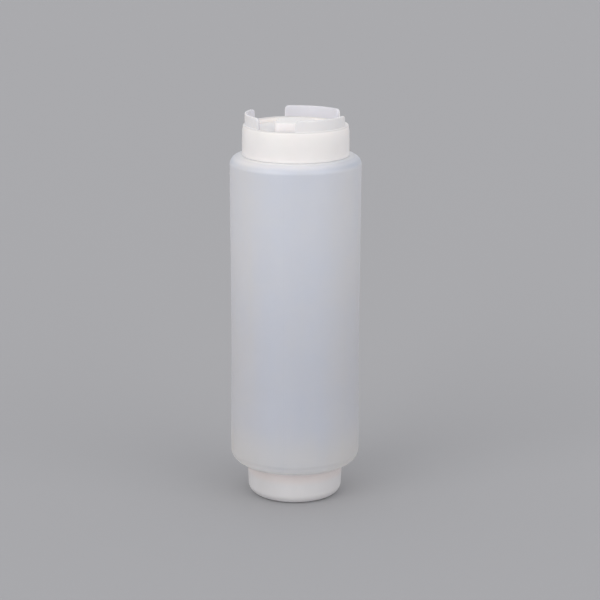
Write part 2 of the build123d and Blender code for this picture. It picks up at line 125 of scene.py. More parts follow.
@dataclass
class Bench:
    """The modelling steps that the mouldings share, each done with Blender's operators.

    Args:
        steps: Faces round a full turn.
        segment_turn: Degrees that one face takes of a small rounded corner.
    """

    steps: int = 160
    pin_sides: int = 48
    fewest_segments: int = 3
    segment_turn: float = 15.0

    def take(self, piece: Piece) -> None:
        """Make one piece the only selected object, in object mode.

        Args:
            piece: The object to select.
        """
        if bpy.context.object and bpy.context.object.mode != "OBJECT":
            bpy.ops.object.mode_set(mode="OBJECT")
        bpy.ops.object.select_all(action="DESELECT")
        piece.select_set(True)
        bpy.context.view_layer.objects.active = piece

    def edit_whole(self, piece: Piece) -> None:
        """Enter edit mode with the whole of one piece selected.

        Args:
            piece: The mesh to edit.
        """
        self.take(piece)
        bpy.ops.object.mode_set(mode="EDIT")
        bpy.ops.mesh.select_all(action="SELECT")

    def choose(self, piece: Piece, part: Part, test: PlaceTest) -> None:
        """Enter edit mode with the elements selected whose corners pass a test.

        Args:
            piece: The mesh to select on.
            part: Vertices or edges.
            test: Takes the places of an element's vertices, in metres.
        """
        self.take(piece)
        bpy.ops.object.mode_set(mode="EDIT")
        bpy.ops.mesh.select_mode(type=part.value)
        bpy.ops.mesh.select_all(action="DESELECT")
        bpy.ops.object.mode_set(mode="OBJECT")
        places = [vertex.co for vertex in piece.data.vertices]
        if part is Part.VERTICES:
            chosen = [vertex for vertex in piece.data.vertices if test([vertex.co])]
        else:
            chosen = [edge for edge in piece.data.edges if test([places[index] for index in edge.vertices])]
        for element in chosen:
            element.select = True
        bpy.ops.object.mode_set(mode="EDIT")

    def settle(self, name: str) -> Piece:
        """Name the newest object and put its place, turn and size into its mesh.

        Args:
            name: The new piece's name.

        Returns:
            The piece, at the origin.
        """
        piece = bpy.context.object
        piece.name = piece.data.name = name
        bpy.ops.object.transform_apply(location=True, rotation=True, scale=True)
        return piece

    def box(self, name: str, middle: Sequence[float], size: Sequence[float]) -> Piece:
        """Make a box.

        Args:
            name: The new piece's name.
            middle: The place of its middle.
            size: Its size along each axis.

        Returns:
            The closed box.
        """
        bpy.ops.object.select_all(action="DESELECT")
        bpy.ops.mesh.primitive_cube_add(size=1.0, location=metres(middle), scale=metres(size))
        return self.settle(name)

    def pin(self, name: str, radius: float, length: float, middle: Sequence[float]) -> Piece:
        """Make a cylinder that lies along X.

        Args:
            name: The new piece's name.
            radius: Its radius.
            length: Its length.
            middle: The place of its middle.

        Returns:
            The closed cylinder.
        """
        bpy.ops.object.select_all(action="DESELECT")
        bpy.ops.mesh.primitive_cylinder_add(
            vertices=self.pin_sides,
            radius=radius * MM,
            depth=length * MM,
            location=metres(middle),
            rotation=(0, math.pi / 2, 0),
        )
        return self.settle(name)

    def outline(self, name: str, corners: Sequence[Corner], closed: bool) -> Piece:
        """Draw an outline on the XZ plane by extruding a point from corner to corner, then round its corners.

        Args:
            name: The new piece's name.
            corners: The corners in order.
            closed: Whether the last corner joins the first.

        Returns:
            The new piece, at the origin, in object mode.
        """
        bpy.ops.object.select_all(action="DESELECT")
        bpy.ops.mesh.primitive_plane_add(size=MM, location=corners[0].point())
        piece = self.settle(name)
        self.edit_whole(piece)
        bpy.ops.mesh.select_mode(type=Part.VERTICES.value)
        bpy.ops.mesh.merge(type="CENTER")
        for here, there in zip(corners, corners[1:]):
            step = there.point() - here.point()
            bpy.ops.mesh.extrude_vertices_move(TRANSFORM_OT_translate={"value": step})
        if closed:
            ends = (corners[0].point(), corners[-1].point())
            self.choose(
                piece, Part.VERTICES, lambda place: min((place[0] - end).length for end in ends) < WELD
            )
            bpy.ops.mesh.edge_face_add()
        self.round_corners(piece, corners, closed)
        bpy.ops.object.mode_set(mode="OBJECT")
        return piece

    def round_corners(self, piece: Piece, corners: Sequence[Corner], closed: bool) -> None:
        """Bevel each rounded corner of an outline by the setback of its rounding.

        Args:
            piece: The outline.
            corners: Its corners in order.
            closed: Whether the last corner joins the first.
        """
        count = len(corners)
        for index, corner in enumerate(corners):
            if not corner.rounding or (not closed and index in (0, count - 1)):
                continue
            here = corner.point()
            before = (here - corners[index - 1].point()).normalized()
            after = (corners[(index + 1) % count].point() - here).normalized()
            turn = before.angle(after)
            segments = math.ceil(math.degrees(turn) / self.segment_turn + corner.rounding)
            self.choose(piece, Part.VERTICES, lambda place: (place[0] - here).length < WELD)
            bpy.ops.mesh.bevel(
                offset=corner.rounding * MM * math.tan(turn / 2),
                segments=max(self.fewest_segments, segments),
                affect="VERTICES",
                clamp_overlap=False,
            )

    def turned(
        self,
        name: str,
        corners: Sequence[Corner],
        closed: bool = True,
        arc: float = 360.0,
        start: float = 0.0,
        steps: int = 0,
    ) -> Piece:
        """Spin an outline about the bottle's axis.

        Args:
            name: The new piece's name.
            corners: The outline's corners.
            closed: Whether the outline is a loop. An open one starts and ends on the axis.
            arc: Degrees turned.
            start: Bearing of the first section, in degrees.
            steps: Faces round the arc, or 0 for the bench's own fineness.

        Returns:
            The new closed mesh.
        """
        piece = self.outline(name, corners, closed)
        self.edit_whole(piece)
        # rotate and spin both turn clockwise seen from above, so anticlockwise bearings are negated.
        bpy.ops.transform.rotate(value=-math.radians(start), orient_axis="Z", center_override=(0, 0, 0))
        bpy.ops.mesh.spin(
            steps=steps or round(self.steps * arc / 360),
            angle=-math.radians(arc),
            center=(0, 0, 0),
            axis=(0, 0, 1),
            use_auto_merge=True,
        )
        if arc < 360:
            bpy.ops.mesh.select_all(action="SELECT")
            bpy.ops.mesh.fill_holes(sides=0)
        self.close(piece)
        return piece

    def close(self, piece: Piece) -> None:
        """Merge what lies together and point all faces outwards.

        Args:
            piece: The mesh to close.
        """
        self.edit_whole(piece)
        bpy.ops.mesh.remove_doubles(threshold=WELD)
        bpy.ops.mesh.normals_make_consistent(inside=False)
        bpy.ops.object.mode_set(mode="OBJECT")

    def bevel_edges(self, piece: Piece, test: PlaceTest, width: float, segments: int) -> None:
        """Round the edges of a piece that pass a test.

        Args:
            piece: The mesh.
            test: Takes the places of an edge's two vertices, in metres.
            width: How far the rounding reaches from the edge.
            segments: Faces across the rounding.
        """
        self.choose(piece, Part.EDGES, test)
        bpy.ops.mesh.bevel(offset=width * MM, segments=segments, affect="EDGES", clamp_overlap=True)
        bpy.ops.object.mode_set(mode="OBJECT")

    def apply(self, piece: Piece, kind: str, **settings: object) -> None:
        """Add a modifier and apply it.

        Args:
            piece: The mesh.
            kind: Blender's name of the modifier's type.
            **settings: The modifier's own properties.
        """
        self.take(piece)
        modifier = piece.modifiers.new(kind.lower(), kind)
        for setting, value in settings.items():
            setattr(modifier, setting, value)
        bpy.ops.object.modifier_apply(modifier=modifier.name)

    def combine(self, piece: Piece, others: Sequence[Piece], operation: str = "UNION") -> None:
        """Join other closed meshes to a piece as one moulding, or cut them out of it.

        Args:
            piece: The mesh that is kept.
            others: The meshes that are used up.
            operation: UNION or DIFFERENCE.
        """
        for other in others:
            self.apply(piece, "BOOLEAN", operation=operation, solver="EXACT", object=other)
            bpy.data.objects.remove(other)

    def smooth(self, piece: Piece, angle: float = 32.0) -> None:
        """Shade a piece smoothly across soft edges and flat across its flats.

        Args:
            piece: The mesh to shade.
            angle: The sharpest edge that is shaded smoothly, in degrees.
        """
        self.take(piece)
        bpy.ops.object.shade_smooth_by_angle(angle=math.radians(angle))
        self.apply(piece, "WEIGHTED_NORMAL", keep_sharp=True)


@dataclass(frozen=True)
class Thread:
    """A right-handed ridge of a screw closure, with a run-out at each end.

    Args:
        wall_radius: Radius of the wall that it stands on.
        side: Whether it stands outward, on a neck, or inward, in a cap.
        start_height: Height of the middle of its first section.
        turns: Its length.
        start_turn: How late it starts, in turns.
        pitch: Its rise in a turn.
        root_sink: How deep its root is sunk into the wall.
        run_out_sections: Sections that each end tapers over.
    """

    wall_radius: float
    side: Side
    start_height: float
    turns: float
    start_turn: float = 0.0
    pitch: float = 25.4 / 6
    depth: float = 1.3
    root_width: float = 2.2
    crest_width: float = 0.9
    root_sink: float = 0.3
    crest_rounding: float = 0.25
    sections_per_turn: int = 96
    run_out_sections: int = 9

    def model(self, bench: Bench, name: str) -> Piece:
        """Screw the ridge's section round the axis and taper its two ends.

        Args:
            bench: The shared modelling steps.
            name: The new piece's name.

        Returns:
            The closed ridge, ready to be joined to its wall.
        """
        way = self.side.value
        root = self.wall_radius - way * self.root_sink
        crest = self.wall_radius + way * self.depth
        low_root = self.start_height - self.root_width / 2
        low_crest = self.start_height - self.crest_width / 2
        corners = [
            Corner(root, low_root),
            Corner(crest, low_crest, self.crest_rounding),
            Corner(crest, low_crest + self.crest_width, self.crest_rounding),
            Corner(root, low_root + self.root_width),
        ]
        ridge = bench.outline(name, corners, closed=True)
        section_size = len(ridge.data.vertices)
        sections = round(self.sections_per_turn * self.turns)
        bench.apply(
            ridge,
            "SCREW",
            angle=math.tau * self.turns,
            screw_offset=self.pitch * self.turns * MM,
            steps=sections,
            render_steps=sections,
            use_merge_vertices=False,
        )
        self.taper(ridge, bench, section_size, sections, root)
        bench.edit_whole(ridge)
        bpy.ops.mesh.fill_holes(sides=0)
        turn = -math.tau * self.start_turn
        bpy.ops.transform.rotate(value=turn, orient_axis="Z", center_override=(0, 0, 0))
        bpy.ops.transform.translate(value=(0, 0, self.start_turn * self.pitch * MM))
        bench.close(ridge)
        return ridge

    def taper(self, ridge: Piece, bench: Bench, section_size: int, sections: int, root: float) -> None:
        """Shrink the sections near both ends towards the ridge's root.

        Args:
            ridge: The open ridge.
            bench: The shared modelling steps.
            section_size: Vertices in a section.
            sections: Steps from the first section to the last.
            root: Radius of the ridge's root.
        """
        last = len(ridge.data.vertices) // section_size - 1
        for step in range(self.run_out_sections):
            share = (step + 1) / (self.run_out_sections + 1)
            for section in (step, last - step):
                bearing = math.tau * self.turns * section / sections
                height = self.start_height * MM + self.pitch * self.turns * MM * section / sections
                middle = Vector((root * MM * math.cos(bearing), root * MM * math.sin(bearing), height))
                members = {
                    ridge.data.vertices[index].co.to_tuple(7)
                    for index in range(section * section_size, (section + 1) * section_size)
                }
                bench.choose(ridge, Part.VERTICES, lambda place: place[0].to_tuple(7) in members)
                bpy.ops.transform.resize(value=(share, share, share), center_override=middle)
                bpy.ops.object.mode_set(mode="OBJECT")


@dataclass
class Wire:
    """A node's output that can be added, subtracted and multiplied like a number."""

    graph: "Graph"
    socket: bpy.types.NodeSocket

    def _math(self, operation: str, first: "Wire | float", second: "Wire | float") -> "Wire":
        """A Math node on two values."""
        return self.graph.wire("ShaderNodeMath", {0: first, 1: second}, operation=operation)

    def __add__(self, other: "Wire | float") -> "Wire":
        """This wire plus another or a number."""
        return self._math("ADD", self, other)

    def __radd__(self, other: float) -> "Wire":
        """A number plus this wire."""
        return self._math("ADD", other, self)

    def __sub__(self, other: "Wire | float") -> "Wire":
        """This wire minus another or a number."""
        return self._math("SUBTRACT", self, other)

    def __rsub__(self, other: float) -> "Wire":
        """A number minus this wire."""
        return self._math("SUBTRACT", other, self)

    def __mul__(self, other: "Wire | float") -> "Wire":
        """This wire times another or a number."""
        return self._math("MULTIPLY", self, other)

    def __rmul__(self, other: float) -> "Wire":
        """A number times this wire."""
        return self._math("MULTIPLY", other, self)

    def __abs__(self) -> "Wire":
        """This wire's size without its sign."""
        return self._math("ABSOLUTE", self, 0.0)


class Graph:
    """A material's nodes."""

    def __init__(self, name: str) -> None:
        """Start a material with no nodes.

        Args:
            name: The new material's name.
        """
        self.material = bpy.data.materials.new(name)
        self.material.use_nodes = True
        self.tree = self.material.node_tree
        self.tree.nodes.clear()

    def node(self, kind: str, inputs: Inputs, **settings: object) -> bpy.types.Node:
        """Add a node, set it up, then give its sockets their values or links.

        Args:
            kind: Blender's name of the node's type.
            inputs: A value or a wire for each socket, by its number or name.
            **settings: The node's own properties.

        Returns:
            The new node.
        """
        node = self.tree.nodes.new(kind)
        for setting, value in settings.items():
            setattr(node, setting, value)
        for socket, value in inputs.items():
            if isinstance(value, Wire):
                self.tree.links.new(value.socket, node.inputs[socket])
            else:
                node.inputs[socket].default_value = value
        return node

    def wire(self, kind: str, inputs: Inputs, output: int | str = 0, **settings: object) -> Wire:
        """Add a node as `node` does, and return one of its outputs as a wire."""
        return Wire(self, self.node(kind, inputs, **settings).outputs[output])

    @cached_property
    def places(self) -> tuple[Wire, Wire, Wire, Wire]:
        """Object coordinates in metres.

        Returns:
            The whole vector and then X, Y and Z.
        """
        whole = self.wire("ShaderNodeTexCoord", {}, "Object")
        parts = self.node("ShaderNodeSeparateXYZ", {0: whole})
        return whole, *(Wire(self, output) for output in parts.outputs)

    def along(self, axis: Axis) -> Wire:
        """The coordinate along one axis, in metres."""
        return self.places[axis.value]

    def noise(self, size: float, detail: float, roughness: float = 0.5, upright: float = 1.0) -> Wire:
        """Soft noise.

        Args:
            size: How many millimetres across its blobs are.
            detail: How many finer layers it has.
            roughness: How strong those are.
            upright: The share of its height that it keeps, less than 1 for upright streaks.

        Returns:
            The noise, from 0 to 1.
        """
        whole = self.places[0]
        if upright != 1.0:
            whole = self.wire("ShaderNodeMapping", {"Vector": whole, "Scale": (1.0, 1.0, upright)})
        inputs = {"Vector": whole, "Scale": 1 / (size * MM), "Detail": detail, "Roughness": roughness}
        return self.wire("ShaderNodeTexNoise", inputs)

    def ease(self, value: Wire, band: Band, ends: Band = (0.0, 1.0), unit: float = 1.0) -> Wire:
        """A smooth change from one end to the other as a value crosses a band.

        Args:
            value: The value.
            band: Where the change starts and ends.
            ends: What it changes from and to.
            unit: The band's unit, such as MM.

        Returns:
            The changing number.
        """
        inputs = {0: value, 1: band[0] * unit, 2: band[1] * unit, 3: ends[0], 4: ends[1]}
        return self.wire("ShaderNodeMapRange", inputs, interpolation_type="SMOOTHSTEP")

    def rise(self, axis: Axis, band: Band) -> Wire:
        """0 before a band of millimetres along an axis, 1 after it and smooth between."""
        return self.ease(self.along(axis), band, unit=MM)

    def blend(
        self, share: Wire | float, first: Colour | Wire, second: Colour | Wire, how: str = "MIX"
    ) -> Wire:
        """Two colours mixed, or combined in another of Blender's ways.

        Args:
            share: How much of the second colour there is.
            first: The first colour.
            second: The second colour.
            how: The way.

        Returns:
            The new colour.
        """
        colours = [value if isinstance(value, Wire) else (*value, 1.0) for value in (first, second)]
        inputs = {0: share, 6: colours[0], 7: colours[1]}
        return self.wire("ShaderNodeMix", inputs, 2, data_type="RGBA", blend_type=how)

    def times(self, first: Colour | Wire, second: Colour | Wire) -> Wire:
        """Two colours multiplied."""
        return self.blend(1.0, first, second, "MULTIPLY")

    def relief(self, height: Wire, depth: float, under: Wire | None = None) -> Wire:
        """A bump.

        Args:
            height: How high it stands, from 0 to 1.
            depth: Its full height.
            under: Another bump that it lies on.

        Returns:
            The normals.
        """
        inputs: Inputs = {"Height": height, "Strength": 1.0, "Distance": depth * MM}
        if under is not None:
            inputs["Normal"] = under
        return self.wire("ShaderNodeBump", inputs)

    def end(self, inputs: Inputs) -> bpy.types.Material:
        """Close the graph with a Principled shader that has these inputs, and return its material."""
        self.node("ShaderNodeOutputMaterial", {"Surface": self.wire("ShaderNodeBsdfPrincipled", inputs)})
        return self.material


@dataclass(frozen=True)
class Shade:
    """A painted light or painted shade: a factor on a colour that changes from one place to another.

    Args:
        start: The place at which the change starts.
        end: The place at which it ends.
        before: The factor before the start.
        after: The factor after the end.
        axis: The axis along which it changes.
    """

    start: float
    end: float
    before: Colour
    after: Colour
    axis: Axis = Axis.Z


@dataclass(frozen=True)
class PlasticFinish:
    """A moulded polymer that scatters light inside: colour, clouding, gloss and the mould's fine texture.

    Args:
        name: The material's name.
        colour: Its colour where it is clear.
        cloud_colour: Its colour where it is thicker or has flowed.
        cloud_band: The part of the noise over which a cloud fades out.
        gloss_level: How much the surface mirrors, 0.5 being what its refractive index gives.
        roughness_spread: How far roughness strays from the middle of its range.
        smear_size: Size of the smears that roughness follows.
        grain_size: Size of the mould's texture.
        wave_size: Size of the wall's slow waves.
        scatter: Share of light that scatters inside.
        scatter_colour: How far each colour travels, as a share of the scatter's depth.
        painted_shades: Painted light and shade, as factors on the colour that change with height or from side
            to side.
    """

    name: str
    colour: Colour
    cloud_colour: Colour
    cloud_size: float = 22.0
    cloud_band: Band = (0.35, 0.65)
    refraction: float = 1.5
    gloss_level: float = 0.9
    gloss_roughness: float = 0.42
    roughness_spread: float = 0.06
    smear_size: float = 6.0
    smear_band: Band = (0.3, 0.7)
    grain_size: float = 0.35
    grain_depth: float = 0.010
    wave_size: float = 9.0
    wave_depth: float = 0.03
    scatter: float = 0.7
    scatter_depth: float = 1.6
    scatter_colour: Colour = (1.0, 0.95, 0.9)
    alpha: float = 1.0
    painted_shades: tuple[Shade, ...] = ()

    def base(self, graph: Graph) -> Wire:
        """The polymer's own colour."""
        clouds = graph.ease(graph.noise(self.cloud_size, detail=3.0), self.cloud_band)
        return graph.blend(clouds, self.colour, self.cloud_colour)

    def tint(self, graph: Graph) -> Wire:
        """The colour over the surface, times its painted light and shade.

        Args:
            graph: The material's graph.

        Returns:
            The colour.
        """
        colour = self.base(graph)
        # Each factor paints light or shade into the colour.
        for shade in self.painted_shades:
            share = graph.rise(shade.axis, (shade.start, shade.end))
            colour = graph.times(colour, graph.blend(share, shade.before, shade.after))
        return colour

    def surface(self, graph: Graph) -> Wire:
        """The mould's grain over a slow waviness."""
        waves = graph.relief(graph.noise(self.wave_size, detail=1.0), self.wave_depth)
        return graph.relief(graph.noise(self.grain_size, detail=2.0), self.grain_depth, waves)

    def cover(self, graph: Graph) -> Wire | float:
        """How opaque the surface is."""
        return self.alpha

    def make(self) -> bpy.types.Material:
        """Build the material.

        Returns:
            The finished material.
        """
        graph = Graph(self.name)
        smears = graph.noise(self.smear_size, detail=4.0, roughness=0.6)
        gloss = (self.gloss_roughness - self.roughness_spread, self.gloss_roughness + self.roughness_spread)
        return graph.end(
            {
                "Base Color": self.tint(graph),
                "Roughness": graph.ease(smears, self.smear_band, gloss),
                "Normal": self.surface(graph),
                "Alpha": self.cover(graph),
                "IOR": self.refraction,
                "Specular IOR Level": self.gloss_level,
                "Subsurface Weight": self.scatter,
                "Subsurface Radius": self.scatter_colour,
                "Subsurface Scale": self.scatter_depth * MM,
            }
        )


@dataclass(frozen=True)
class BlownFinish(PlasticFinish):
    """Natural polyethylene blown in a two-part mould: upright flow streaks and a parting line on two sides.

    Painted light and shade: darker low on the barrel, lighter at its top, under the lower shoulder, by the
    cap and at the sides.

    Args:
        streak_upright: How little the flow streaks change upwards.
        streak_band: The part of the noise over which a streak fades in.
        parting_bearing: Bearing of the parting line, in degrees.
        lit_front_bearing: Bearing of the upper shoulder's front, which keeps its painted light, in degrees.
        lit_front_band: Distances towards that bearing over which the painted shade gives way.
        shoulder_shade_band: Heights over which the painted shade on the upper shoulder sets in.
        shoulder_shade_factor: What the painted shade does to the colour.
    """

    streak_colour: Colour = (0.655, 0.67, 0.705)
    streak_strength: float = 0.4
    streak_size: float = 7.0
    streak_upright: float = 0.06
    streak_band: Band = (0.48, 0.72)
    parting_bearing: float = 80.6
    parting_width: float = 0.5
    parting_height: float = 0.03
    lit_front_bearing: float = -108.0
    lit_front_band: Band = (8.0, 33.0)
    shoulder_shade_band: Band = (182.5, 186.0)
    shoulder_shade_factor: Colour = (0.72, 0.77, 0.835)
    # Painted light and shade: darker low on the barrel, lighter at the top, round the lower shoulder's
    # underside, on the upper shoulder by the cap and at the two sides.
    painted_shades: tuple[Shade, ...] = (
        Shade(55.0, 175.0, (0.865, 0.862, 0.865), (1.045, 1.04, 1.03)),
        Shade(27.0, 48.0, (1.07, 1.04, 0.975), PLAIN),
        Shade(21.0, 24.4, (1.36, 1.345, 1.33), PLAIN),
        Shade(20.4, 21.8, (1.20, 1.17, 1.13), PLAIN),
        Shade(184.6, 187.2, PLAIN, (1.225, 1.175, 1.115)),
        Shade(187.3, 187.85, PLAIN, (1.22, 1.20, 1.15)),
        Shade(-28.0, -12.0, (1.06, 1.03, 0.985), PLAIN, Axis.X),
        Shade(12.0, 28.0, PLAIN, (1.045, 1.02, 0.98), Axis.X),
    )

    def base(self, graph: Graph) -> Wire:
        """Clouded colour with streaks that run up the barrel.

        Args:
            graph: The material's graph.

        Returns:
            The colour.
        """
        streaks = graph.noise(self.streak_size, detail=3.0, upright=self.streak_upright)
        share = graph.ease(streaks, self.streak_band, (0.0, self.streak_strength))
        return graph.blend(share, super().base(graph), self.streak_colour)

    def tint(self, graph: Graph) -> Wire:
        """The colour over the surface, with painted shade on the upper shoulder's sides and back, so that
        only its front keeps the painted light.

        Args:
            graph: The material's graph.

        Returns:
            The colour.
        """
        bearing = math.radians(self.lit_front_bearing)
        towards = graph.along(Axis.X) * math.cos(bearing) + graph.along(Axis.Y) * math.sin(bearing)
        # Painted shade on the upper shoulder, away from its front.
        shaded_side = graph.ease(towards, self.lit_front_band, (1.0, 0.0), MM)
        factor = graph.blend(shaded_side * graph.rise(Axis.Z, self.shoulder_shade_band), PLAIN, self.shoulder_shade_factor)
        return graph.times(super().tint(graph), factor)

    def surface(self, graph: Graph) -> Wire:
        """Grain, waviness and the parting line.

        Args:
            graph: The material's graph.

        Returns:
            The normal.
        """
        bearing = math.radians(self.parting_bearing)
        aside = abs(graph.along(Axis.Y) * math.cos(bearing) - graph.along(Axis.X) * math.sin(bearing))
        line = graph.ease(aside, (0.0, self.parting_width / 2), (1.0, 0.0), MM)
        return graph.relief(line, self.parting_height, super().surface(graph))


@dataclass(frozen=True)
class FootedFinish(PlasticFinish):
    """White polypropylene whose feet are cooler and greyer than the cap, partly the narrow walls' own
    translucency and partly painted shade.

    Args:
        foot_colour: The colour of the feet's outer faces.
        inner_face_shade: The darker colour of their inner faces, painted shade.
        foot_heights: Heights over which the feet's look sets in.
        foot_radii: Distances from the axis over which it sets in.
        face_radii: Distances over which the inner colour gives way to the outer one.
        well_factor: Painted light in the cap's recess, as a factor on the colour.
    """

    foot_colour: Colour = (0.84, 0.826, 0.828)
    inner_face_shade: Colour = (0.69, 0.687, 0.728)
    foot_alpha: float = 0.92
    foot_heights: Band = (203.85, 204.15)
    foot_radii: Band = (24.5, 25.1)
    face_radii: Band = (26.0, 26.8)
    well_factor: Colour = (1.12, 1.11, 1.11)
    well_heights: Band = (199.5, 200.0)
    well_radii: Band = (24.8, 25.2)
    # Painted light and shade: lighter on the wall under the rim, painted shade on the rim's edge against its
    # highlight, and a factor that lifts the feet back out of it.
    painted_shades: tuple[Shade, ...] = (
        Shade(192.0, 202.5, PLAIN, (1.06, 1.06, 1.055)),
        Shade(203.3, 203.8, PLAIN, (0.78, 0.78, 0.78)),
        Shade(203.85, 204.1, PLAIN, (1.22, 1.22, 1.22)),
    )

    def outward(self, graph: Graph, radii: Band) -> Wire:
        """0 nearer the axis than the first radius and 1 further from it than the second."""
        across, deep = graph.along(Axis.X), graph.along(Axis.Y)
        return graph.ease(across * across + deep * deep, ((radii[0] * MM) ** 2, (radii[1] * MM) ** 2))

    def foot(self, graph: Graph) -> Wire:
        """1 on the feet's free walls and 0 elsewhere."""
        return graph.rise(Axis.Z, self.foot_heights) * self.outward(graph, self.foot_radii)

    def base(self, graph: Graph) -> Wire:
        """Clouded white with painted light in the recess, that cools on the feet and darkens on their inner
        faces as painted shade.

        Args:
            graph: The material's graph.

        Returns:
            The colour.
        """
        feet = graph.blend(self.outward(graph, self.face_radii), self.inner_face_shade, self.foot_colour)
        in_well = graph.rise(Axis.Z, self.well_heights) * (1.0 - self.outward(graph, self.well_radii))
        solid = graph.times(super().base(graph), graph.blend(in_well, PLAIN, self.well_factor))
        return graph.blend(self.foot(graph), solid, feet)

    def cover(self, graph: Graph) -> Wire | float:
        """Opaque, and slightly clear on the feet."""
        return 1.0 - self.foot(graph) * (1.0 - self.foot_alpha)


POLYETHYLENE = BlownFinish(
    name="natural_polyethylene",
    colour=(0.635, 0.66, 0.73),
    cloud_colour=(0.65, 0.668, 0.725),
    gloss_level=1.0,
    gloss_roughness=0.45,
    scatter=0.8,
    scatter_depth=2.0,
    alpha=0.90,
)
WHITE_CAP = FootedFinish(
    name="white_polypropylene",
    colour=(0.86, 0.826, 0.812),
    cloud_colour=(0.83, 0.806, 0.784),
)
LID_WHITE = PlasticFinish(
    name="lid_polypropylene",
    colour=(0.905, 0.873, 0.873),
    cloud_colour=(0.874, 0.853, 0.843),
    # Painted light on the lid's top and painted shade on its thumb block's front.
    painted_shades=(Shade(205.8, 206.2, (0.965, 0.965, 0.965), (1.04, 1.025, 1.0)),),
)
REFILL_WHITE = PlasticFinish(
    name="refill_cap_polypropylene",
    colour=(0.686, 0.672, 0.675),
    cloud_colour=(0.665, 0.652, 0.655),
    painted_shades=(
        # Painted shade on the left side, painted light at the bottom edge and at the rim where shadows fall,
        # and a pinker band below the rim.
        Shade(-20.0, 4.0, (0.93, 0.93, 0.925), PLAIN, Axis.X),
        Shade(0.3, 3.2, (1.17, 1.17, 1.17), PLAIN),
        Shade(10.0, 14.5, PLAIN, (1.03, 0.972, 0.95)),
        Shade(16.4, 17.2, PLAIN, (1.18, 1.18, 1.20)),
    ),
)
SILICONE = PlasticFinish(
    name="clear_white_silicone",
    colour=(0.74, 0.76, 0.78),
    cloud_colour=(0.68, 0.70, 0.73),
    cloud_size=6.0,
    gloss_roughness=0.55,
    grain_size=0.18,
    grain_depth=0.006,
    scatter=0.9,
    scatter_depth=2.5,
)


@dataclass
class Moulding:
    """One moulded piece, with its name, body, replaced node and finish, and a material slot name that is not
    used.
    """

    bench: Bench
    name: str = ""
    body: str = ""
    node: str = ""
    slot: str = ""
    finish: PlasticFinish = WHITE_CAP

    def model(self) -> Piece:
        """Build the closed mesh, in metres, with its place in it."""
        raise NotImplementedError

    def build(self) -> None:
        """Model the piece, shade and dress it, and set it on its body."""
        piece = self.model()
        self.bench.close(piece)
        self.bench.smooth(piece)
        piece.data.materials.clear()
        piece.data.materials.append(self.finish.make())
        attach(piece, self.body)
        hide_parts(self.node)
        triangles = sum(len(face.vertices) - 2 for face in piece.data.polygons)
        LOG.info("%s: %d triangles on %s", self.name, triangles, self.body)


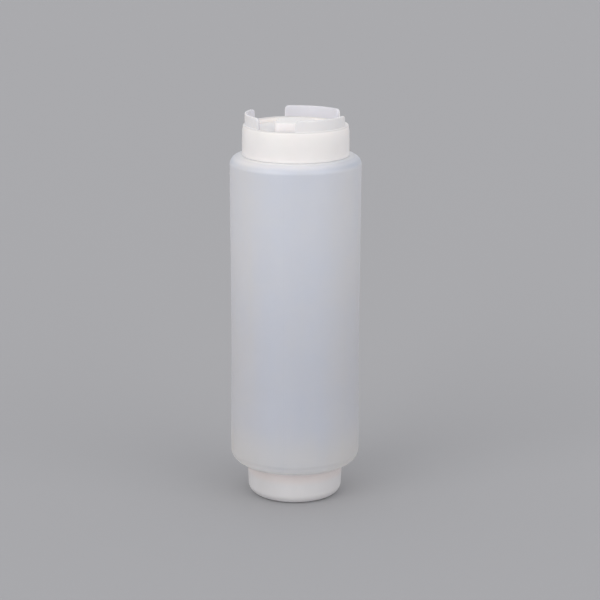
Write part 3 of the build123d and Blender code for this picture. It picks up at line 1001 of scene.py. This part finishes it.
@dataclass
class BottleShell(Moulding):
    """The blown bottle: one wall from rim to rim, waisted, with a thread on each neck."""

    name: str = "bottle_shell"
    body: str = "bottle"
    node: str = "bottle_body"
    slot: str = "bottle_polyethylene"
    finish: PlasticFinish = POLYETHYLENE
    bottom_radius: float = 35.0
    top_radius: float = 35.1
    waist_depth: float = 0.4
    waist_place: float = 0.42
    wall: float = 1.3
    lower_slope: float = math.radians(14.3)
    upper_slope: float = math.radians(8.0)
    lower_rounding: float = 6.5
    upper_rounding: float = 5.0
    lower_neck: float = 22.4
    upper_neck: float = 24.9
    neck_wall: float = 1.6
    rim_rounding: float = 0.4
    root_rounding: float = 0.8
    cap_gap: float = 0.4
    refill_cap_radius: float = 25.95
    refill_cap_wall: float = 1.85
    dispensing_cap_radius: float = 28.35
    thread_turns: float = 1.25
    upper_thread_setback: float = 1.9
    lower_thread_setback: float = 2.2
    side_points: int = 14

    def lower_line(self, radius: float, inset: float) -> float:
        """Height of the lower shoulder at a radius.

        Args:
            radius: The distance from the axis.
            inset: How far inside the outer face it is taken.

        Returns:
            The height.
        """
        edge = highest("refill_cap") + self.cap_gap + self.refill_cap_wall * math.tan(self.lower_slope)
        rise = (radius - self.refill_cap_radius) * math.tan(self.lower_slope)
        return edge + rise + inset / math.cos(self.lower_slope)

    def upper_line(self, radius: float, inset: float) -> float:
        """Height of the upper shoulder at a radius.

        Args:
            radius: The distance from the axis.
            inset: How far inside the outer face it is taken.

        Returns:
            The height.
        """
        edge = lowest("dispensing_cap") - self.cap_gap
        fall = (radius - self.dispensing_cap_radius) * math.tan(self.upper_slope)
        return edge - fall - inset / math.cos(self.upper_slope)

    def barrel(self, inset: float) -> list[Corner]:
        """The barrel's side from its lower to its upper shoulder, with the waist between them.

        Args:
            inset: How far the side lies inside the outer face.

        Returns:
            The corners in order, from the bottom up.
        """
        bottom, top = self.bottom_radius - inset, self.top_radius - inset
        low = Corner(bottom, self.lower_line(bottom, inset), self.lower_rounding - inset)
        high = Corner(top, self.upper_line(top, inset), self.upper_rounding - inset)
        start = low.height + low.rounding
        reach = high.height - high.rounding - start
        side = []
        for index in range(1, self.side_points):
            share = index / self.side_points
            if share < self.waist_place:
                eased = share / self.waist_place
                change = -self.waist_depth
                base = self.bottom_radius
            else:
                eased = (share - self.waist_place) / (1 - self.waist_place)
                change = self.top_radius - self.bottom_radius + self.waist_depth
                base = self.bottom_radius - self.waist_depth
            radius = base + change * eased**2 * (3 - 2 * eased)
            side.append(Corner(radius - inset, start + reach * share))
        return [low, *side, high]

    def upper_thread_start(self) -> float:
        """Height at which the upper neck's thread starts."""
        return highest(self.node) - self.upper_thread_setback - self.thread_turns * Thread.pitch

    def model(self) -> Piece:
        """Turn the wall and screw on both threads.

        Returns:
            The closed mesh.
        """
        low_rim, high_rim = lowest(self.node), highest(self.node)
        lower_bore = self.lower_neck - self.neck_wall
        upper_bore = self.upper_neck - self.neck_wall
        corners = [
            Corner(self.lower_neck, low_rim, self.rim_rounding),
            Corner(self.lower_neck, self.lower_line(self.lower_neck, 0), self.root_rounding),
            *self.barrel(0),
            Corner(self.upper_neck, self.upper_line(self.upper_neck, 0), self.root_rounding),
            Corner(self.upper_neck, high_rim, self.rim_rounding),
            Corner(upper_bore, high_rim, self.rim_rounding),
            Corner(upper_bore, self.upper_line(upper_bore, self.wall), self.root_rounding),
            *reversed(self.barrel(self.wall)),
            Corner(lower_bore, self.lower_line(lower_bore, self.wall), self.root_rounding),
            Corner(lower_bore, low_rim, self.rim_rounding),
        ]
        shell = self.bench.turned(self.name, corners)
        lower_start = low_rim + self.lower_thread_setback
        threads = [
            Thread(self.upper_neck, Side.OUTWARD, self.upper_thread_start(), self.thread_turns),
            Thread(self.lower_neck, Side.OUTWARD, lower_start, self.thread_turns),
        ]
        self.bench.combine(shell, [thread.model(self.bench, "neck_thread") for thread in threads])
        return shell


@dataclass
class RefillCap(Moulding):
    """The plain threaded cap that the bottle stands on."""

    name: str = "refill_cap_moulding"
    body: str = "refill_cap"
    node: str = "refill_cap"
    slot: str = "refill_cap_plastic"
    finish: PlasticFinish = REFILL_WHITE
    radius: float = 25.95
    draft: float = 0.75
    corner: float = 5.3
    bore: float = 24.1
    seat: float = 3.8
    seat_inner: float = 19.1
    inner_corner: float = 1.2
    recess_radius: float = 16.4
    recess_depth: float = 0.8
    plate: float = 2.0
    rounding: float = 0.3
    rim_reach: float = 0.3
    rim_slope: float = 0.4
    rim_rounding: float = 0.15
    gate_radius: float = 1.3
    gate_flare: float = 0.3
    gate_depth: float = 0.35
    thread_turns: float = 1.0

    def model(self) -> Piece:
        """Turn the cup, with the dimple that the moulding's gate leaves, and screw in its thread.

        Returns:
            The closed mesh.
        """
        top = highest(self.node) + self.rim_reach
        plate_top = self.recess_depth + self.plate
        gate_top = self.recess_depth + self.gate_depth
        corners = [
            Corner(0, gate_top),
            Corner(self.gate_radius, gate_top, self.rounding),
            Corner(self.gate_radius + self.gate_flare, self.recess_depth, self.rounding),
            Corner(self.recess_radius, self.recess_depth, self.rounding),
            Corner(self.recess_radius, 0, self.rounding),
            Corner(self.radius - self.draft, 0, self.corner),
            Corner(self.radius, top + self.rim_slope, self.rim_rounding),
            Corner(self.bore, top, self.rounding),
            Corner(self.bore, self.seat, self.inner_corner),
            Corner(self.seat_inner, self.seat, self.rounding),
            Corner(self.seat_inner, plate_top, self.rounding),
            Corner(0, plate_top),
        ]
        cup = self.bench.turned(self.name, corners, closed=False)
        start = lowest(BottleShell.node) + BottleShell.lower_thread_setback + Thread.pitch / 2
        thread = Thread(self.bore, Side.INWARD, start, self.thread_turns)
        self.bench.combine(cup, [thread.model(self.bench, "refill_cap_thread")])
        return cup


@dataclass
class DispensingCap(Moulding):
    """The threaded cap with its recessed deck, spout ring, three raised feet and the lid's two hinge ears."""

    name: str = "dispensing_cap_moulding"
    body: str = "dispensing_cap"
    node: str = "dispensing_cap"
    slot: str = "cap_plastic"
    finish: PlasticFinish = WHITE_CAP
    radius: float = 28.35
    draft: float = 0.3
    taper_width: float = 0.45
    taper_height: float = 3.2
    rim_width: float = 2.6
    rim_rounding: float = 0.4
    foot_height: float = 6.0
    recess_depth: float = 2.5
    recess_rounding: float = 0.5
    deck: float = 1.9
    bore: float = 26.6
    spout_radius: float = 6.9
    spout_wall: float = 1.7
    spout_height: float = 1.8
    boss_bore: float = 10.5
    boss_wall: float = 1.5
    boss_length: float = 4.4
    bead_depth: float = 0.4
    bead_height: float = 0.9
    bead_drop: float = 3.05
    rounding: float = 0.3
    foot_count: int = 3
    foot_bearing: float = 66.1
    foot_span: float = 73.7
    foot_setback: float = 0.8
    foot_thickness: float = 1.6
    foot_corner: float = 2.2
    foot_corner_reach: float = 1.3
    foot_edge: float = 0.35
    foot_flare: float = 0.35
    foot_steps: int = 13
    hinge_offset: float = 13.0
    hinge_above_deck: float = 1.9
    ear_inner: float = 4.1
    ear_thickness: float = 1.6
    ear_rounding: float = 1.7
    ear_hole: float = 0.8
    thread_turns: float = 1.0
    thread_delay: float = 0.25
    skirt_reach: float = 0.36
    skirt_rounding: float = 0.08
    skirt_bead_height: float = 1.4
    skirt_bead_step: float = 0.1

    @property
    def rim(self) -> float:
        """The rim's height."""
        return highest(self.node) - self.foot_height

    @property
    def deck_top(self) -> float:
        """The deck's height."""
        return self.rim - self.recess_depth

    def shell_corners(self) -> list[Corner]:
        """The turned section from the skirt's foot over the rim, deck, spout and boss and back down.

        Returns:
            The closed outline's corners.
        """
        skirt = lowest(self.node) - self.skirt_reach
        skirt_radius = self.radius + self.draft
        bead_top = skirt + self.skirt_bead_height
        under = self.deck_top - self.deck
        rim_radius = self.radius - self.taper_width
        recess = rim_radius - self.rim_width
        spout_outer = self.spout_radius + self.spout_wall
        spout_top = self.deck_top + self.spout_height
        bead = under - self.bead_drop
        boss_end = under - self.boss_length
        boss_outer = self.boss_bore + self.boss_wall
        return [
            Corner(skirt_radius, skirt, self.skirt_rounding),
            Corner(skirt_radius, bead_top),
            Corner(skirt_radius - self.skirt_bead_step, bead_top + self.skirt_bead_step),
            Corner(self.radius, self.rim - self.taper_height),
            Corner(rim_radius, self.rim, self.rim_rounding),
            Corner(recess, self.rim, self.rim_rounding),
            Corner(recess, self.deck_top, self.recess_rounding),
            Corner(spout_outer, self.deck_top, self.recess_rounding),
            Corner(spout_outer, spout_top, self.rounding),
            Corner(self.spout_radius, spout_top, self.rounding),
            Corner(self.spout_radius, under),
            Corner(self.boss_bore, under),
            Corner(self.boss_bore, bead),
            Corner(self.boss_bore - self.bead_depth, bead - self.bead_height / 2),
            Corner(self.boss_bore, bead - self.bead_height),
            Corner(self.boss_bore, boss_end),
            Corner(boss_outer, boss_end, self.rounding),
            Corner(boss_outer, under, self.recess_rounding),
            Corner(self.bore, under, self.recess_rounding),
            Corner(self.bore, skirt, self.rounding),
        ]

    def foot(self, bearing: float) -> Piece:
        """One raised arc wall with rounded upper corners.

        Args:
            bearing: The bearing of its middle, in degrees.

        Returns:
            The closed wall, its root inside the rim.
        """
        outer = self.radius - self.taper_width - self.foot_setback
        inner = outer - self.foot_thickness
        top = self.rim + self.foot_height
        root = self.rim - self.rim_rounding
        corners = [
            Corner(inner, root),
            Corner(outer + self.foot_flare, root),
            Corner(outer + self.foot_flare, self.rim),
            Corner(outer, self.rim + self.foot_flare, self.foot_flare),
            Corner(outer, top),
            Corner(inner, top),
        ]
        start = bearing - self.foot_span / 2
        corner_arc = math.degrees(self.foot_corner / self.radius) * self.foot_corner_reach
        wall = self.bench.turned("foot", corners, arc=self.foot_span, start=start, steps=self.foot_steps)

        def is_end_top(place: list[Vector]) -> bool:
            """Whether an edge is the upper corner of one of the foot's ends.

            Args:
                place: The places of its two vertices.

            Returns:
                True if it is.
            """
            level = all(abs(point.z - top * MM) < LEVEL for point in place)
            across = abs(place[0].xy.length - place[1].xy.length) > self.foot_thickness * MM / 2
            past = (math.degrees(math.atan2(place[0].y, place[0].x)) - start) % 360
            return level and across and min(past, 360 - past, abs(past - self.foot_span)) < SAME_BEARING

        def is_top_rim(place: list[Vector]) -> bool:
            """Whether an edge of the foot's inner or outer face lies on its crown or a rounded corner.

            Args:
                place: The places of its two vertices.

            Returns:
                True if it does.
            """
            high = all(point.z > (top - self.foot_corner) * MM - LEVEL for point in place)
            along = abs(place[0].xy.length - place[1].xy.length) < self.foot_thickness * MM / 4
            off_face = min(abs(place[0].xy.length / MM - radius) for radius in (inner, outer))
            middle = (place[0] + place[1]) / 2
            aside = abs((math.degrees(math.atan2(middle.y, middle.x)) - bearing + 180) % 360 - 180)
            round_corner = aside > self.foot_span / 2 - corner_arc and abs(place[0].z - place[1].z) > WELD
            on_crown = middle.z > top * MM - LEVEL
            return high and along and off_face < SAME_RADIUS and (on_crown or round_corner)

        self.bench.bevel_edges(wall, is_end_top, self.foot_corner, segments=8)
        self.bench.bevel_edges(wall, is_top_rim, self.foot_edge, segments=3)
        return wall

    def ear(self, side: int) -> Piece:
        """One hinge ear: a block on the deck whose top is rounded about the hinge axis.

        Args:
            side: 1 for the ear on +X and -1 for the other.

        Returns:
            The closed ear.
        """
        across = side * (self.ear_inner + self.ear_thickness / 2)
        height = self.deck_top + self.hinge_above_deck
        axis = (across, self.hinge_offset, height)
        depth = self.hinge_above_deck + self.rounding
        size = (self.ear_thickness, 2 * self.ear_rounding, depth)
        block = self.bench.box("hinge_ear", (across, self.hinge_offset, height - depth / 2), size)
        self.bench.combine(block, [self.bench.pin("ear_top", self.ear_rounding, self.ear_thickness, axis)])
        hole = self.bench.pin("ear_hole", self.ear_hole, 2 * self.ear_thickness, axis)
        self.bench.combine(block, [hole], "DIFFERENCE")
        return block

    def model(self) -> Piece:
        """Turn the shell and join its feet, ears and thread to it.

        Returns:
            The closed mesh.
        """
        cap = self.bench.turned(self.name, self.shell_corners())
        spacing = 360 / self.foot_count
        feet = [self.foot(self.foot_bearing + index * spacing) for index in range(self.foot_count)]
        ears = [self.ear(side) for side in (-1, 1)]
        start = BottleShell(self.bench).upper_thread_start() - Thread.pitch / 2
        thread = Thread(self.bore, Side.INWARD, start, self.thread_turns, self.thread_delay)
        self.bench.combine(cap, [*feet, *ears, thread.model(self.bench, "dispensing_cap_thread")])
        return cap


@dataclass
class FlipLid(Moulding):
    """The round lid with its plug ring, flat-fronted thumb block and a hinge barrel between trunnions."""

    name: str = "flip_lid_moulding"
    body: str = "flip_lid"
    node: str = "flip_lid"
    slot: str = "cap_plastic"
    finish: PlasticFinish = LID_WHITE
    radius: float = 10.6
    wall: float = 1.3
    top_thickness: float = 1.4
    corner: float = 1.0
    rounding: float = 0.3
    plug_outer: float = 6.5
    plug_wall: float = 1.1
    plug_length: float = 2.6
    block_width: float = 22.0
    block_depth: float = 6.5
    block_reach: float = 1.4
    block_drop: float = 0.35
    block_corner: float = 2.0
    block_edge: float = 0.4
    hinge_offset: float = 13.0
    hinge_below_top: float = 2.9
    barrel_radius: float = 1.1
    barrel_length: float = 7.6
    trunnion_radius: float = 0.75
    trunnion_length: float = 11.0
    pin_edge: float = 0.15
    arm_thickness: float = 1.6

    def pin(self, name: str, radius: float, length: float, height: float) -> Piece:
        """A pin on the hinge axis whose ends have softened rims.

        Args:
            name: The new piece's name.
            radius: Its radius.
            length: Its length.
            height: The hinge axis's height.

        Returns:
            The closed pin.
        """
        piece = self.bench.pin(name, radius, length, (0, self.hinge_offset, height))
        self.bench.bevel_edges(
            piece, lambda place: abs(place[0].x - place[1].x) < WELD, self.pin_edge, segments=2
        )
        return piece

    def slab(self, name: str, width: float, back: float, front: float, low: float, high: float) -> Piece:
        """A box evenly about the lid's middle, from `front` to `back` on Y and from `low` to `high`."""
        middle = (0, (back + front) / 2, (low + high) / 2)
        return self.bench.box(name, middle, (width, back - front, high - low))

    def thumb_block(self, edge: float, roof: float, top: float) -> Piece:
        """The flat-fronted block that a thumb lifts, cored from below on both sides of the cover.

        Args:
            edge: Height of the cover's open edge.
            roof: Height of the underside of the cover's top.
            top: Height of the cover's top.

        Returns:
            The closed block.
        """
        front = -self.radius - self.block_reach
        back = front + self.block_depth
        low = edge - self.block_drop
        below = low - self.wall
        core_radius = self.radius - self.wall / 2
        core_width = self.block_width - 2 * self.wall
        block = self.slab("thumb_block", self.block_width, back, front, low, top)
        upright, crown = self.block_corner, self.block_edge
        self.bench.bevel_edges(block, lambda place: place[0].xy == place[1].xy, upright, segments=8)
        self.bench.bevel_edges(
            block, lambda place: min(place[0].z, place[1].z) > top * MM - LEVEL, crown, segments=4
        )
        core = self.slab("core", core_width, back - self.wall, -core_radius, below, roof)
        inside = [Corner(0, below), Corner(core_radius, below)]
        inside += [Corner(core_radius, roof + self.rounding), Corner(0, roof + self.rounding)]
        room = self.bench.turned("inside", inside, closed=False)
        self.bench.combine(block, [core, room], "DIFFERENCE")
        return block

    def model(self) -> Piece:
        """Turn the cover and join its thumb block, arm, barrel and trunnions to it.

        Returns:
            The closed mesh.
        """
        top, edge = highest(self.node), lowest(self.node)
        roof = top - self.top_thickness
        plug_inner = self.plug_outer - self.plug_wall
        plug_end = roof - self.plug_length
        skirt_inner = self.radius - self.wall
        rounded = [
            Corner(radius, height, self.rounding)
            for radius, height in (
                (plug_inner, roof),
                (plug_inner, plug_end),
                (self.plug_outer, plug_end),
                (self.plug_outer, roof),
                (skirt_inner, roof),
                (skirt_inner, edge),
                (self.radius, edge),
            )
        ]
        corners = [Corner(0, roof), *rounded, Corner(self.radius, top, self.corner), Corner(0, top)]
        cover = self.bench.turned(self.name, corners, closed=False)
        axis_height = top - self.hinge_below_top
        arm_low = axis_height - self.arm_thickness / 2
        arm_high = arm_low + self.arm_thickness
        arm_front = self.radius - self.wall / 2
        arm = self.slab("arm", self.barrel_length, self.hinge_offset, arm_front, arm_low, arm_high)
        barrel = self.pin("hinge_barrel", self.barrel_radius, self.barrel_length, axis_height)
        trunnions = self.pin("trunnions", self.trunnion_radius, self.trunnion_length, axis_height)
        self.bench.combine(cover, [self.thumb_block(edge, roof, top), arm, barrel, trunnions])
        return cover


@dataclass
class InnerParts:
    """The small pieces inside the two ends, which keep their nodes and get their finishes here."""

    silicone_nodes: tuple[str, ...] = (
        "refill_gasket",
        "dispensing_gasket",
        "slit_valve",
        *(f"valve_flap_{number}" for number in range(1, 5)),
    )
    plastic_nodes: tuple[str, ...] = ("valve_retainer",)

    def dress(self) -> None:
        """Give each carried node its material."""
        for nodes, finish in ((self.silicone_nodes, SILICONE), (self.plastic_nodes, WHITE_CAP)):
            material = finish.make()
            for name in nodes:
                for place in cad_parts[name].material_slots:
                    place.material = material
                LOG.info("%s: dressed in %s", name, finish.name)


@dataclass(frozen=True)
class Lamp:
    """A broad soft lamp, so far off that it lights the whole floor evenly.

    Args:
        name: The lamp's name.
        bearing: Degrees round from the front, towards the right.
        height: Degrees above the floor.
        softness: How wide the lamp looks from the bottle, in degrees.
        strength: Its strength on a face turned towards it.
    """

    name: str
    bearing: float
    height: float
    softness: float
    strength: float

    def hang(self) -> None:
        """Add the lamp to the scene."""
        bpy.ops.object.select_all(action="DESELECT")
        bpy.ops.object.light_add(type="SUN", location=(0, 0, 1))
        lamp = bpy.context.object
        lamp.name = self.name
        lamp.data.angle = math.radians(self.softness)
        lamp.data.energy = self.strength
        lamp.rotation_euler = (math.radians(90 - self.height), 0, math.radians(self.bearing))


@dataclass
class Studio:
    """A plain pale floor, soft lamps and the camera, with places and the floor's size in metres.

    Args:
        lamps: A key at the front left and a fill at the front right.
        camera_pitch: Degrees that the camera looks down.
        camera_roll: Degrees that it is turned about its line of sight.
        camera_range: The nearest and furthest that it sees.
    """

    floor_size: float = 30.0
    floor_colour: Colour = (0.42, 0.42, 0.43)
    floor_roughness: float = 0.9
    floor_gloss: float = 0.1
    world_colour: Colour = (0.84, 0.84, 0.86)
    world_strength: float = 0.9
    lamps: tuple[Lamp, ...] = (Lamp("key", -42.0, 16.0, 50.0, 1.19), Lamp("fill", 48.0, 12.0, 60.0, 0.89))
    camera_place: tuple[float, float, float] = (0.0016, -1.0718, 0.3813)
    camera_pitch: float = 14.3
    camera_roll: float = -0.20
    camera_lens: float = 122.87
    camera_sensor: float = 36.0
    camera_range: Band = (0.05, 60.0)

    def floor(self) -> None:
        """Lay the plain matt floor."""
        bpy.ops.object.select_all(action="DESELECT")
        bpy.ops.mesh.primitive_plane_add(size=self.floor_size, location=(0, 0, lowest("refill_cap") * MM))
        floor = bpy.context.object
        floor.name = "studio_floor"
        inputs = {
            "Base Color": (*self.floor_colour, 1.0),
            "Roughness": self.floor_roughness,
            "Specular IOR Level": self.floor_gloss,
        }
        floor.data.materials.append(Graph("pale_floor").end(inputs))

    def light(self) -> None:
        """Light the room softly and hang the lamps."""
        world = bpy.data.worlds.new("studio_room")
        bpy.context.scene.world = world
        world.use_nodes = True
        background = world.node_tree.nodes["Background"]
        background.inputs["Color"].default_value = (*self.world_colour, 1.0)
        background.inputs["Strength"].default_value = self.world_strength
        for lamp in self.lamps:
            lamp.hang()

    def camera(self) -> None:
        """Set the camera at the reference viewing angle."""
        data = bpy.data.cameras.new("reference_camera")
        camera = bpy.data.objects.new("reference_camera", data)
        bpy.context.scene.collection.objects.link(camera)
        camera.location = self.camera_place
        camera.rotation_mode = "XYZ"
        camera.rotation_euler = (math.radians(90 - self.camera_pitch), math.radians(self.camera_roll), 0)
        data.lens = self.camera_lens
        data.sensor_width = self.camera_sensor
        data.clip_start, data.clip_end = self.camera_range
        bpy.context.scene.camera = camera

    def build(self) -> None:
        """Lay the floor, light the room and set the camera and the view transform."""
        self.floor()
        self.light()
        self.camera()
        bpy.context.scene.view_settings.view_transform = "Standard"
        LOG.info("studio: floor, %d lamps and camera", len(self.lamps))


def main() -> None:
    """Build the pieces in order, dress what stays of the frame, and set up the studio."""
    logging.basicConfig(level=logging.INFO, format="%(name)s %(message)s")
    bench = Bench()
    for moulding in (BottleShell(bench), RefillCap(bench), DispensingCap(bench), FlipLid(bench)):
        moulding.build()
    InnerParts().dress()
    Studio().build()


if __name__ == "__main__":
    main()
